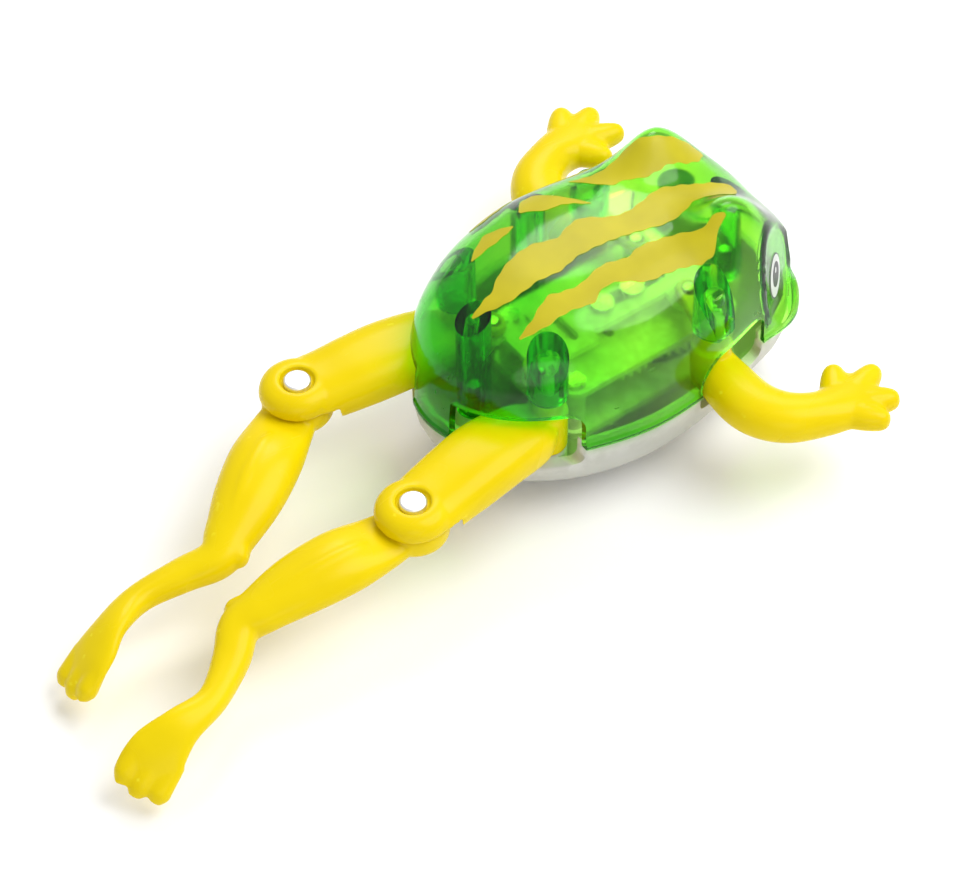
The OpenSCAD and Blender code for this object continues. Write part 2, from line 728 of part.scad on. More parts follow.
module shank(fold) {
    s = shank_l;
    color([0.96, 0.88, 0.02]) rotate(-splay) translate([0, thigh_l, 0]) rotate(fold) difference() {
        union() {
            rod(knee_r - 0.5, knee_z, lap_z - 0.25);
            loft([
                [0, 2, 16.2, 9.4, 2, 2.2, 2.4, 0],
                [0.2, s * 0.2, 16.1, 11, 2.1, 3, 2.3, 0],
                [0.2, s * 0.42, 15.8, 12.8, 3.9, 3.5, 2.2, 0],
                [0, s * 0.66, 15, 12, 3.8, 3.4, 2.2, 0],
                [0.1, s * 0.86, 13.8, 9.4, 3.3, 3, 2.2, 0],
                foot_at(0.02, 0.01, 0.1, 7.2, 2.9, 0),
                foot_at(0.15, 0.14, 1.2, 6.4, 2.5, -6),
                foot_at(0.3, 0.34, 1.8, 5.2, 2.2, -10),
                foot_at(0.36, 0.55, 1.8, foot_w * 0.66, 1.7, foot_roll),
                foot_at(0.39, 0.7, 3.8, foot_w * 0.94, 1.5, foot_roll),
                foot_at(0.42, 0.8, 6.3, foot_w, 1.4, foot_roll),
                foot_at(0.435, 0.845, 7.8, foot_w * 0.9, 1.2, foot_roll),
                foot_at(0.44, 0.855, 8.2, foot_w * 0.7, 0.7, foot_roll)], 2, 20);
            for (i = [-1, 0, 1]) toe(i);
        }
        rod(rivet_r + run_fit, 0, lap_z + 1);
    }
}

// One blunt toe at the end of the web; i is -1 inside, 0 middle and 1 outside
module toe(i) {
    w = foot_w * 0.36;
    a = foot_at(0.4, 0.73, 4.7, w * 0.8, 1, foot_roll);
    b = foot_at(0.44, i == 0 ? 0.86 : 0.84, i == 0 ? 8.3 : 7.7, w, 1.6, foot_roll);
    c = foot_at(0.45, i == 0 ? 0.893 : 0.873, i == 0 ? 9.2 : 8.6, w * 0.5, 0.8, foot_roll);
    side = unit(cross(spot(c) - spot(a), [0, 0, 1]));
    up = unit(cross(side, spot(c) - spot(a)));
    d = i * foot_w * 0.31 * (side * cos(foot_roll) + up * sin(foot_roll));
    loft([for (p = [a, b, c]) [for (k = [0:7]) k < 3 ? p[k] + d[k] : p[k]]], 2, 10);
}

module arm() {
    m = arm_l;
    z = rim_z + 0.7;
    color([0.96, 0.88, 0.02]) difference() {
        union() {
            hub(arm_lever, arm_lever_turn);
            loft([
                [0.5, 0, z, 7.6, 3.6, 3.6, 2.4, 0],
                [6, 0.7, z, 9.2, 4.1, 4, 2.3, 0],
                [m * 0.82, 0.5, z, 9.8, 4.1, 4, 2.2, 0],
                [m * 1.14, -2.4, z, 9.2, 3.8, 3.9, 2.2, 0],
                [m * 1.33, -7.6, z, 8.2, 3.4, 3.6, 2.2, 0],
                [m * 1.38, -12.4, z, 9.8, 2.9, 3, 2.2, 0],
                [m * 1.4, -16.2, z, 11.2, 2.4, 2.4, 2.2, 0],
                [m * 1.4, -18.6, z, 7, 1.6, 1.6, 2.2, 0]], 3, 20);
            finger([m * 1.5, -12, z], [m + 13.1, -15.6, z + 0.2]);
            finger([m * 1.45, -14.5, z], [m + 10, -20.2, z]);
            finger([m * 1.34, -14.5, z], [m + 3, -21.2, z + 0.3]);
            finger([m * 1.28, -12, z], [m - 1.2, -15.4, z + 0.5]);
        }
        hub_cuts(arm_lever, arm_lever_turn);
    }
}

// A blunt finger from inside the palm to its tip
module finger(a, b) {
    u = unit(b - a);
    sizes = [[0, 4.6, 2.1], [0.6, 4.4, 2.1], [0.9, 3.9, 1.9], [1.06, 2.6, 1.2], [1.1, 0.8, 0.5]];
    loft([for (q = sizes) let (p = a + (b - a) * q[0]) [p[0], p[1], p[2], q[1], q[2], q[2], 2.1, 0]], 1, 10);
}

module at_hip(flip) {
    mirrored_if(flip) translate([hip_x, hip_y, 0]) children();
}

module at_shoulder(flip) {
    mirrored_if(flip) translate([shoulder_x, shoulder_y, 0]) children();
}

module thigh_right() at_hip(true) thigh();
module thigh_left() at_hip(false) thigh();
module knee_rivet_right() at_hip(true) knee_rivet();
module knee_rivet_left() at_hip(false) knee_rivet();
module shank_right() at_hip(true) shank(fold_right);
module shank_left() at_hip(false) shank(fold_left);
module arm_right() at_shoulder(true) arm();
module arm_left() at_shoulder(false) arm();

top_shell();
bottom_shell();
casing_screws();
winding_knob();
knob_seal();
winding_arbor();
ratchet_wheel();
mainspring();
great_wheel();
click();
click_spring();
second_shaft();
second_gear();
crank_shaft();
crank_gear();
crank_disc();
governor_shaft();
governor();
motor_base_plate();
motor_top_plate();
motor_pillars();
motor_screws();
yoke();
yoke_pins();
yoke_guides();
thigh_right();
thigh_left();
knee_rivet_right();
knee_rivet_left();
shank_right();
shank_left();
arm_right();
arm_left();
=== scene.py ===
import bpy
import bmesh
import math
from mathutils import Matrix, Vector


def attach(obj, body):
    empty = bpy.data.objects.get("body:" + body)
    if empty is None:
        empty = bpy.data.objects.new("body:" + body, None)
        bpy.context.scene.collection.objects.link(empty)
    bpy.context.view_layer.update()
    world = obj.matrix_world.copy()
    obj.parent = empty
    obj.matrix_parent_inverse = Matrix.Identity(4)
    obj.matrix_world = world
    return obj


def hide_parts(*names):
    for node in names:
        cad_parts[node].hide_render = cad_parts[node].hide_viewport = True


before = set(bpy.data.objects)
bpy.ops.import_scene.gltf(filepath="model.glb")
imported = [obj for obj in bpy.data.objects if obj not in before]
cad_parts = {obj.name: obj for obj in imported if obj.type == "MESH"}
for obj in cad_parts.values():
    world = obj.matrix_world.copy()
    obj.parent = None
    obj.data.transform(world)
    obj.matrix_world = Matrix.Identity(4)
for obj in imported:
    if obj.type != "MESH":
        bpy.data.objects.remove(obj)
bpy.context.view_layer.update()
mm = 0.001
print("frame loaded:", len(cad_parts), "nodes")


def deselectAll():
    if bpy.context.object and bpy.context.object.mode != "OBJECT":
        bpy.ops.object.mode_set(mode="OBJECT")
    bpy.ops.object.select_all(action="DESELECT")


def pick(*pieces):
    deselectAll()
    for piece in pieces:
        piece.select_set(True)
    bpy.context.view_layer.objects.active = pieces[0]


def applyModifier(piece, kind, **settings):
    pick(piece)
    modifier = piece.modifiers.new(kind.title(), kind)
    for key, value in settings.items():
        setattr(modifier, key, value)
    bpy.ops.object.modifier_apply(modifier=modifier.name)


def joinPieces(name, pieces):
    pick(*pieces)
    if len(pieces) > 1:
        bpy.ops.object.join()
    joined = bpy.context.object
    joined.name = name
    joined.data.name = name
    return joined


def cutWith(piece, cutter, how="DIFFERENCE"):
    applyModifier(piece, "BOOLEAN", operation=how, object=cutter, solver="EXACT")
    bpy.data.objects.remove(cutter)


def recalculate(piece):
    pick(piece)
    bpy.ops.object.mode_set(mode="EDIT")
    bpy.ops.mesh.select_all(action="SELECT")
    bpy.ops.mesh.normals_make_consistent(inside=False)
    bpy.ops.object.mode_set(mode="OBJECT")


def smoothShade(piece, angle=35):
    pick(piece)
    bpy.ops.object.shade_smooth_by_angle(angle=math.radians(angle))


def fuse(piece, voxel, passes):
    # melts overlapping closed forms into one moulded skin
    applyModifier(piece, "REMESH", mode="VOXEL", voxel_size=voxel * mm, use_smooth_shade=True)
    applyModifier(piece, "SMOOTH", factor=0.5, iterations=passes)


def dress(piece, material, body, slotName, *nodes):
    piece.data.materials.clear()
    piece.data.materials.append(material)
    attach(piece, body)
    if nodes:
        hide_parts(*nodes)
    return piece


def curvePoint(a, b, c, d, t):
    return 0.5 * (2 * b + (c - a) * t + (2 * a - 5 * b + 4 * c - d) * t * t
                  + (3 * b - a - 3 * c + d) * t ** 3)


def smoothRows(rows, steps):
    # rows of numbers, with smooth in-between rows added
    done = []
    for i in range(len(rows) - 1):
        near = [rows[max(i - 1, 0)], rows[i], rows[i + 1], rows[min(i + 2, len(rows) - 1)]]
        for k in range(steps):
            done.append([curvePoint(*values, k / steps) for values in zip(*near)])
    return done + [list(rows[-1])]


def placeRing(piece, ring):
    # the picked vertices take the ring's places, in the order in which they already lie
    mesh = bmesh.from_edit_mesh(piece.data)
    picked = sorted((v for v in mesh.verts if v.select), key=lambda v: v.index)
    for vertex, place in zip(picked, ring):
        vertex.co = place
    bmesh.update_edit_mesh(piece.data)


def loft(name, rings):
    # a closed skin drawn ring by ring with extrude
    deselectAll()
    bpy.ops.mesh.primitive_circle_add(vertices=len(rings[0]), radius=mm, fill_type="NGON")
    piece = bpy.context.object
    bpy.ops.object.mode_set(mode="EDIT")
    placeRing(piece, rings[0])
    for ring in rings[1:]:
        bpy.ops.mesh.extrude_region_move()
        placeRing(piece, ring)
    bpy.ops.mesh.select_all(action="SELECT")
    bpy.ops.mesh.normals_make_consistent(inside=False)
    bpy.ops.object.mode_set(mode="OBJECT")
    piece.name = name
    return piece


def bend(value, power):
    return math.copysign(abs(value) ** (2 / power), value)


def limbRings(rows, steps, sides, toWorld):
    # each row: x, y, z, width, height above, height below, roundness, roll
    rows = smoothRows(rows, steps)
    rings = []
    for i, row in enumerate(rows):
        before, after = rows[max(i - 1, 0)], rows[min(i + 1, len(rows) - 1)]
        along = (Vector(after[:3]) - Vector(before[:3])).normalized()
        side = along.cross(Vector((0, 0, 1))).normalized()
        up = side.cross(along)
        roll = math.radians(row[7])
        across = side * math.cos(roll) + up * math.sin(roll)
        up = up * math.cos(roll) - side * math.sin(roll)
        ring = []
        for k in range(sides):
            angle = 2 * math.pi * k / sides
            c, h = bend(math.cos(angle), row[6]), bend(math.sin(angle), row[6])
            point = Vector(row[:3]) + across * row[3] / 2 * c + up * (row[4] if h > 0 else row[5]) * h
            ring.append(toWorld @ (point * mm))
        rings.append(ring)
    return rings


def lathe(name, place, profile, sides=64, toWorld=Matrix()):
    # rings of a turned part; the profile is radius and height in millimetres
    rings = []
    for r, z in profile:
        rings.append([])
        for k in range(sides):
            turn = 2 * math.pi * k / sides
            point = Vector((place[0] + r * math.cos(turn), place[1] + r * math.sin(turn), z))
            rings[-1].append(toWorld @ (point * mm))
    return loft(name, rings)


def rod(name, place, radius, low, high, toWorld):
    # an upright cylinder
    return lathe(name, place, [(radius, low), (radius, high)], 48, toWorld)


def box(name, low, high, toWorld=Matrix()):
    rings = [[toWorld @ (Vector((x, y, z)) * mm) for x, y in
              ((low[0], low[1]), (high[0], low[1]), (high[0], high[1]), (low[0], high[1]))]
             for z in (low[2], high[2])]
    return loft(name, rings)


def newGroup(name, inputs, outputs):
    group = bpy.data.node_groups.new(name, "ShaderNodeTree")
    for socketName, kind, value in inputs:
        socket = group.interface.new_socket(name=socketName, in_out="INPUT", socket_type=kind)
        if value is not None:
            socket.default_value = value
    for socketName, kind in outputs:
        group.interface.new_socket(name=socketName, in_out="OUTPUT", socket_type=kind)
    return group, group.nodes.new("NodeGroupInput"), group.nodes.new("NodeGroupOutput")


def addNoise(tree, vector, scale, detail=3):
    noise = tree.nodes.new("ShaderNodeTexNoise")
    noise.inputs["Scale"].default_value = scale
    noise.inputs["Detail"].default_value = detail
    noise.inputs["Roughness"].default_value = 0.55
    tree.links.new(vector, noise.inputs["Vector"])
    return noise.outputs["Fac"]


def addRange(tree, value, low, high, outLow=0, outHigh=1):
    node = tree.nodes.new("ShaderNodeMapRange")
    node.inputs["From Min"].default_value = low
    node.inputs["From Max"].default_value = high
    node.inputs["To Min"].default_value = outLow
    node.inputs["To Max"].default_value = outHigh
    tree.links.new(value, node.inputs["Value"])
    return node.outputs["Result"]


def addMath(tree, kind, a, b):
    node = tree.nodes.new("ShaderNodeMath")
    node.operation = kind
    for i, value in enumerate((a, b)):
        if isinstance(value, (int, float)):
            node.inputs[i].default_value = value
        else:
            tree.links.new(value, node.inputs[i])
    return node.outputs["Value"]


def makeMouldGroup():
    # what every moulded plastic shows: cloudy tone, fine grain, handling marks
    group, start, end = newGroup(
        "mouldedSkin",
        [("Place", "NodeSocketVector", None), ("Cloud Scale", "NodeSocketFloat", 60.0),
         ("Grain Scale", "NodeSocketFloat", 1800.0)],
        [("Cloud", "NodeSocketFloat"), ("Grain", "NodeSocketFloat"), ("Marks", "NodeSocketFloat")])
    links = group.links
    cloud = group.nodes.new("ShaderNodeTexNoise")
    cloud.inputs["Detail"].default_value = 2
    links.new(start.outputs["Place"], cloud.inputs["Vector"])
    links.new(start.outputs["Cloud Scale"], cloud.inputs["Scale"])
    grain = group.nodes.new("ShaderNodeTexNoise")
    grain.inputs["Detail"].default_value = 2
    links.new(start.outputs["Place"], grain.inputs["Vector"])
    links.new(start.outputs["Grain Scale"], grain.inputs["Scale"])
    # long thin scratches: noise stretched one way, cut to a thin band
    stretch = group.nodes.new("ShaderNodeMapping")
    stretch.inputs["Rotation"].default_value = (0.3, 0.2, 0.7)
    stretch.inputs["Scale"].default_value = (1400, 90, 500)
    links.new(start.outputs["Place"], stretch.inputs["Vector"])
    scratch = group.nodes.new("ShaderNodeTexNoise")
    scratch.inputs["Scale"].default_value = 1
    scratch.inputs["Detail"].default_value = 1
    links.new(stretch.outputs["Vector"], scratch.inputs["Vector"])
    line = addRange(group, scratch.outputs["Fac"], 0.66, 0.74)
    patch = addRange(group, addNoise(group, start.outputs["Place"], 140, 2), 0.5, 0.66)
    marks = addMath(group, "MULTIPLY", line, patch)
    links.new(addRange(group, cloud.outputs["Fac"], 0.3, 0.7), end.inputs["Cloud"])
    links.new(grain.outputs["Fac"], end.inputs["Grain"])
    links.new(marks, end.inputs["Marks"])
    return group


def makeEdgeGroup():
    # rubbed edges: pale where the form turns sharply, broken up by noise
    group, start, end = newGroup(
        "rubbedEdges",
        [("Place", "NodeSocketVector", None), ("Sharpness", "NodeSocketFloat", 0.5)],
        [("Rub", "NodeSocketFloat")])
    geometry = group.nodes.new("ShaderNodeNewGeometry")
    sharp = addMath(group, "SUBTRACT", geometry.outputs["Pointiness"], 0.5)
    sharp = addMath(group, "MULTIPLY", sharp, start.outputs["Sharpness"])
    sharp = addRange(group, sharp, 0.02, 0.12)
    broken = addRange(group, addNoise(group, start.outputs["Place"], 420), 0.42, 0.62)
    rub = addMath(group, "MULTIPLY", sharp, broken)
    group.links.new(rub, end.inputs["Rub"])
    return group


mouldGroup = makeMouldGroup()
edgeGroup = makeEdgeGroup()


def startMaterial(name):
    material = bpy.data.materials.new(name)
    material.use_nodes = True
    tree = material.node_tree
    shader = tree.nodes["Principled BSDF"]
    place = tree.nodes.new("ShaderNodeTexCoord").outputs["Object"]
    return material, tree, shader, place


def useGroup(tree, group, place, **values):
    node = tree.nodes.new("ShaderNodeGroup")
    node.node_tree = group
    tree.links.new(place, node.inputs["Place"])
    for key, value in values.items():
        node.inputs[key].default_value = value
    return node


def mixColors(tree, factor, a, b):
    node = tree.nodes.new("ShaderNodeMix")
    node.data_type = "RGBA"
    tree.links.new(factor, node.inputs["Factor"])
    for socket, value in ((node.inputs["A"], a), (node.inputs["B"], b)):
        if isinstance(value, tuple):
            socket.default_value = (*value, 1)
        else:
            tree.links.new(value, socket)
    return node.outputs["Result"]


def addBump(tree, shader, height, strength, distance):
    bump = tree.nodes.new("ShaderNodeBump")
    bump.inputs["Strength"].default_value = strength
    bump.inputs["Distance"].default_value = distance
    tree.links.new(height, bump.inputs["Height"])
    tree.links.new(bump.outputs["Normal"], shader.inputs["Normal"])


def mouldedPlastic(name, deep, light, rubbed, rough, glow=0.0, gloss=0.5):
    material, tree, shader, place = startMaterial(name)
    skin = useGroup(tree, mouldGroup, place, **{"Cloud Scale": 60.0, "Grain Scale": 1500.0})
    edges = useGroup(tree, edgeGroup, place, Sharpness=1.0)
    color = mixColors(tree, skin.outputs["Cloud"], deep, light)
    color = mixColors(tree, edges.outputs["Rub"], color, rubbed)
    tree.links.new(color, shader.inputs["Base Color"])
    roughness = addRange(tree, skin.outputs["Cloud"], 0, 1, rough - 0.04, rough + 0.06)
    roughness = addMath(tree, "ADD", roughness, addMath(tree, "MULTIPLY", skin.outputs["Marks"], 0.2))
    tree.links.new(roughness, shader.inputs["Roughness"])
    shader.inputs["IOR"].default_value = 1.49
    shader.inputs["Specular IOR Level"].default_value = gloss
    if glow:
        shader.inputs["Subsurface Weight"].default_value = glow
        shader.inputs["Subsurface Radius"].default_value = (1.0, 0.75, 0.2)
        shader.inputs["Subsurface Scale"].default_value = 0.0015
    scratches = addMath(tree, "MULTIPLY", skin.outputs["Marks"], 1.5)
    height = addMath(tree, "SUBTRACT", skin.outputs["Grain"], scratches)
    addBump(tree, shader, height, 0.12, 0.00003)
    return material


def turnedMetal(name, deep, light, rough, grainTurn=(2200, 260, 2200)):
    material, tree, shader, place = startMaterial(name)
    stretch = tree.nodes.new("ShaderNodeMapping")
    stretch.inputs["Scale"].default_value = grainTurn
    tree.links.new(place, stretch.inputs["Vector"])
    brushed = addNoise(tree, stretch.outputs["Vector"], 1, 2)
    stain = addNoise(tree, place, 500, 4)
    edges = useGroup(tree, edgeGroup, place, Sharpness=0.8)
    color = mixColors(tree, addRange(tree, stain, 0.35, 0.7), light, deep)
    color = mixColors(tree, edges.outputs["Rub"], color, tuple(min(1, c * 1.15) for c in light))
    tree.links.new(color, shader.inputs["Base Color"])
    shader.inputs["Metallic"].default_value = 1
    roughness = addRange(tree, brushed, 0.3, 0.7, rough - 0.08, rough + 0.12)
    tree.links.new(roughness, shader.inputs["Roughness"])
    addBump(tree, shader, brushed, 0.2, 0.00002)
    return material


clearGreenLook = {
    # rear is a painted-shade green laid towards the tail, front the lit lime; rim is the deeper green of
    # plastic seen edge-on
    "front": (0.82, 0.97, 0.34), "rear": (0.17, 0.78, 0.06), "rim": (0.10, 0.56, 0.05),
    "absorb": (0.40, 0.91, 0.04), "density": 620.0, "rough": 0.11, "ior": 1.38,
    "shadowTint": (0.90, 1.0, 0.68)}


def clearGreenPlastic(name, look):
    material, tree, shader, place = startMaterial(name)
    skin = useGroup(tree, mouldGroup, place, **{"Cloud Scale": 90.0, "Grain Scale": 900.0})
    # painted shade: the shell is tinted darker green towards the tail, where less light comes up through it
    # from beneath; the rims are deepest in colour, where the plastic is seen edge-on
    split = tree.nodes.new("ShaderNodeSeparateXYZ")
    tree.links.new(place, split.inputs["Vector"])
    paintedShadeAlong = addMath(tree, "ADD", split.outputs["Y"], addMath(tree, "MULTIPLY", skin.outputs["Cloud"], 0.008))
    tint = mixColors(tree, addRange(tree, paintedShadeAlong, 0.006, 0.034), look["front"], look["rear"])
    turn = tree.nodes.new("ShaderNodeLayerWeight")
    turn.inputs["Blend"].default_value = 0.35
    tint = mixColors(tree, addRange(tree, turn.outputs["Facing"], 0.35, 0.95), tint, look["rim"])
    tree.links.new(tint, shader.inputs["Base Color"])
    shader.inputs["Transmission Weight"].default_value = 1
    shader.inputs["IOR"].default_value = look["ior"]
    roughness = addMath(tree, "MULTIPLY", skin.outputs["Marks"], 0.25)
    roughness = addMath(tree, "ADD", roughness, look["rough"])
    tree.links.new(roughness, shader.inputs["Roughness"])
    addBump(tree, shader, skin.outputs["Cloud"], 0.10, 0.0004)
    # lamps shine through the plastic, tinted, so that the clockwork is lit
    through = tree.nodes.new("ShaderNodeBsdfTransparent")
    through.inputs["Color"].default_value = (*look["shadowTint"], 1)
    lightPath = tree.nodes.new("ShaderNodeLightPath")
    mix = tree.nodes.new("ShaderNodeMixShader")
    output = tree.nodes["Material Output"]
    tree.links.new(lightPath.outputs["Is Shadow Ray"], mix.inputs["Fac"])
    tree.links.new(shader.outputs["BSDF"], mix.inputs[1])
    tree.links.new(through.outputs["BSDF"], mix.inputs[2])
    tree.links.new(mix.outputs["Shader"], output.inputs["Surface"])
    absorb = tree.nodes.new("ShaderNodeVolumeAbsorption")
    absorb.inputs["Color"].default_value = (*look["absorb"], 1)
    absorb.inputs["Density"].default_value = look["density"]
    tree.links.new(absorb.outputs["Volume"], output.inputs["Volume"])
    return material


def paintFilm(name, deep, light, rough):
    material, tree, shader, place = startMaterial(name)
    skin = useGroup(tree, mouldGroup, place, **{"Cloud Scale": 130.0, "Grain Scale": 2600.0})
    color = mixColors(tree, skin.outputs["Cloud"], deep, light)
    tree.links.new(color, shader.inputs["Base Color"])
    roughness = addMath(tree, "MULTIPLY", skin.outputs["Grain"], 0.2)
    tree.links.new(addMath(tree, "ADD", roughness, rough), shader.inputs["Roughness"])
    shader.inputs["Specular IOR Level"].default_value = 0.3
    shader.inputs["Coat Weight"].default_value = 0.05
    shader.inputs["Coat Roughness"].default_value = 0.1
    addBump(tree, shader, skin.outputs["Grain"], 0.15, 0.00003)
    return material


# each: name, deep tone, light tone, rubbed edges, roughness
yellowPlastic = mouldedPlastic("yellowLimbPlastic", (0.75, 0.56, 0.001), (0.81, 0.62, 0.001),
                               (0.86, 0.72, 0.02), 0.25, glow=0.04, gloss=0.14)
# the casing white is painted shade: darker than the gear white, as the belly shell and knob lie in shade
shadeDarkenedWhitePlastic = mouldedPlastic("whiteCasingPlasticPaintedShade", (0.46, 0.46, 0.41), (0.54, 0.54, 0.50),
                              (0.66, 0.66, 0.62), 0.38)
gearPlastic = mouldedPlastic("gearPlastic", (0.74, 0.74, 0.70), (0.86, 0.86, 0.83),
                             (0.92, 0.92, 0.90), 0.45)
greenPlastic = clearGreenPlastic("clearGreenPlastic", clearGreenLook)
stripePaint = paintFilm("ochreStripePaint", (0.44, 0.38, 0.003), (0.53, 0.46, 0.005), 0.36)
eyeWhite = paintFilm("eyeWhitePaint", (0.60, 0.63, 0.60), (0.72, 0.74, 0.72), 0.28)
eyeBlack = paintFilm("eyeBlackPaint", (0.012, 0.014, 0.018), (0.03, 0.03, 0.035), 0.25)
steel = turnedMetal("brightSteel", (0.42, 0.42, 0.42), (0.66, 0.66, 0.65), 0.28)
blueSteel = turnedMetal("springSteel", (0.10, 0.12, 0.16), (0.22, 0.26, 0.33), 0.30)
rivetMetal = turnedMetal("rivetMetal", (0.80, 0.80, 0.79), (0.97, 0.97, 0.96), 0.42,
                         (900, 900, 900))
blackRubber = mouldedPlastic("blackRubber", (0.02, 0.02, 0.02), (0.035, 0.035, 0.035),
                             (0.06, 0.06, 0.06), 0.6)
print("finishes made")


casing = {
    # radius every 20 degrees from the tail round to the snout
    "outline": [34.5, 32.4, 28.4, 25.2, 23.7, 23.4, 25, 29, 37, 36.8],
    "rim": 16.4, "back": 41.0, "fallAlong": 0.0026, "fallAcross": 0.006, "wall": 1.2, "around": 288,
    "domePower": 3.6, "rings": 72, "lipHeight": 1.2, "lipOut": 0.35,
    "eyeHeight": 8.2, "eyeX": 11.4, "eyeY": -22.0, "eyeWide": 6.4, "eyeLong": 8.4,
    "browFacing": (0.773, -0.623, 0.12), "browReach": 32.0, "browSunk": 0.5,
    "eyeCentre": (14.2, -29.3, 25.0),
    "mouthTurn": 149, "mouthOut": 1.7, "mouthWide": 7,
    "hips": (13.1, 19.2), "shoulders": (17.4, -12.2), "postRadius": 2.0,
    "screws": [(0.0, 24.8), (15.6, 2.2), (0.0, -28.5)],
    "bossRadius": 3.5, "screwBossRadius": 3.0, "bossLow": 25.5, "screwBossLow": 14.0}


def outlineAt(angle):
    a = abs((angle + 180) % 360 - 180)
    radii = casing["outline"]
    t = min(a / 20, len(radii) - 1.0001)
    i = int(t)
    mouth = casing["mouthOut"] * math.exp(-((a - casing["mouthTurn"]) / casing["mouthWide"]) ** 2)
    following = radii[min(i + 2, len(radii) - 1)]
    return curvePoint(radii[abs(i - 1)], radii[i], radii[i + 1], following, t - i) + mouth


def hill(x, y, wide, long):
    return math.exp(-(x / wide) ** 2 - (y / long) ** 2)


def crownAt(x, y):
    bulges = sum(hill(x - side * casing["eyeX"], y - casing["eyeY"], casing["eyeWide"], casing["eyeLong"])
                 for side in (-1, 1))
    fall = casing["fallAlong"] * (y - 2) ** 2 + casing["fallAcross"] * x * x
    return casing["back"] - fall + casing["eyeHeight"] * bulges


def domeHeight(x, y, inset=0.0):
    share = min(math.hypot(x, y) / (outlineAt(math.degrees(math.atan2(x, y))) - inset), 1)
    rise = (1 - share ** casing["domePower"]) ** (1 / casing["domePower"])
    return casing["rim"] + (crownAt(x, y) - inset - casing["rim"]) * rise


def browFacing(side):
    x, y, z = casing["browFacing"]
    return Vector((x * side, y, z)).normalized()


def flattenBrow(point, inset):
    # the flat round the eye: what stands out past a plane is pushed back to it
    facing = browFacing(1 if point[0] > 0 else -1)
    if point[2] < 18:
        return Vector(point)
    fade = min(1, (point[2] - 18) / 2)
    out = Vector(point).dot(facing) - casing["browReach"] + inset
    step = min(1, max(0, out / 1.0))
    push = max(0, out) + casing["browSunk"] * step * step * (3 - 2 * step)
    return Vector(point) - facing * push * fade


def domeRing(share, inset):
    ring = []
    for k in range(casing["around"]):
        angle = 360 * k / casing["around"]
        r = share * (outlineAt(angle) - inset)
        x, y = r * math.sin(math.radians(angle)), r * math.cos(math.radians(angle))
        ring.append(flattenBrow((x, y, domeHeight(x, y, inset)), inset) * mm)
    return ring


def levelRing(inset, z):
    ring = []
    for k in range(casing["around"]):
        angle = 360 * k / casing["around"]
        r = outlineAt(angle) - inset
        ring.append(Vector((r * math.sin(math.radians(angle)), r * math.cos(math.radians(angle)), z)) * mm)
    return ring


def domeShares():
    # close together towards the rim, where the dome falls away steeply
    rings = casing["rings"]
    return [math.sin(math.pi / 2 * k / rings) ** 0.9 for k in range(1, rings)]


def arcPoints(cx, cz, r, start, stop):
    steps = 8
    return [(cx + r * math.cos(math.radians(start + (stop - start) * k / steps)),
             cz + r * math.sin(math.radians(start + (stop - start) * k / steps))) for k in range(steps + 1)]


windowLook = {
    # edges along the body, height, corner radii, and how far in from the middle each starts
    "thigh": {"front": 16.6, "rear": 60.0, "top": 24.8, "frontCorner": 3.2, "rearCorner": 1.0,
              "inner": 5.0},
    "arm": {"front": -22.8, "rear": -6.3, "top": 23.2, "frontCorner": 2.2, "rearCorner": 6.0,
            "inner": 13.4}}


def windowCutter(name, look, side):
    top, front, rear = look["top"], look["front"], look["rear"]
    f, r = look["frontCorner"], look["rearCorner"]
    outline = [(rear, 0), (rear, top - r)] + arcPoints(rear - r, top - r, r, 0, 90)[1:]
    outline += arcPoints(front + f, top - f, f, 90, 180) + [(front, 0)]
    rings = [[Vector((side * x, y, z)) * mm for y, z in outline] for x in (look["inner"], 60)]
    return loft(name, rings)


def bossTube(name, place, radius, bore, low):
    # a tube that hangs from the dome, closed at its top by the dome itself
    def circle(r, height):
        ring = []
        for k in range(40):
            x, y = (place[0] + r * math.cos(math.pi * k / 20), place[1] + r * math.sin(math.pi * k / 20))
            ring.append(Vector((x, y, height if height else domeHeight(x, y, 0.6))) * mm)
        return ring
    roof = domeHeight(place[0], place[1], 0) - casing["wall"] - 0.4
    rings = [circle(0.1, roof), circle(bore * 0.8, roof), circle(bore, roof - 0.5),
             circle(bore, low + 0.3), circle(bore + 0.3, low), circle(radius - 0.3, low),
             circle(radius, low + 0.3), circle(radius, None), circle(radius * 0.5, None),
             circle(0.1, None)]
    return loft(name, rings)


def makeTopShell():
    shares = domeShares()
    rim, out, wall = casing["rim"], casing["lipOut"], casing["wall"]
    lipTop = rim + casing["lipHeight"]
    rings = [domeRing(s, wall) for s in shares]
    for inset, height in ((wall, rim + 0.35), (wall - 0.1, rim + 0.1), (wall - 0.35, rim),
                          (-out + 0.2, rim), (-out + 0.04, rim + 0.06), (-out, rim + 0.2),
                          (-out, lipTop - 0.15), (-out + 0.06, lipTop), (-0.02, lipTop + 0.25),
                          (0.0, lipTop + 0.5)):
        rings.append(levelRing(inset, height))
    rings += [domeRing(s, 0.0) for s in reversed(shares)]
    shell = loft("topShell", rings)
    recalculate(shell)
    for side in (-1, 1):
        cutWith(shell, windowCutter("thighOpening", windowLook["thigh"], side))
        cutWith(shell, windowCutter("armOpening", windowLook["arm"], side))
    bosses = []
    for side in (-1, 1):
        for place in (casing["hips"], casing["shoulders"]):
            bosses.append(bossTube("boss", (side * place[0], place[1]), casing["bossRadius"],
                                   casing["postRadius"] + 0.06, casing["bossLow"]))
    for place in casing["screws"]:
        bosses.append(bossTube("screwBoss", place, casing["screwBossRadius"], 1.2, casing["screwBossLow"]))
    for boss in bosses:
        cutWith(shell, boss, "UNION")
    smoothShade(shell, 40)
    return dress(shell, greenPlastic, "casing", "casing_green", "top_shell")


topShell = makeTopShell()
print("top shell:", len(topShell.data.polygons), "faces")


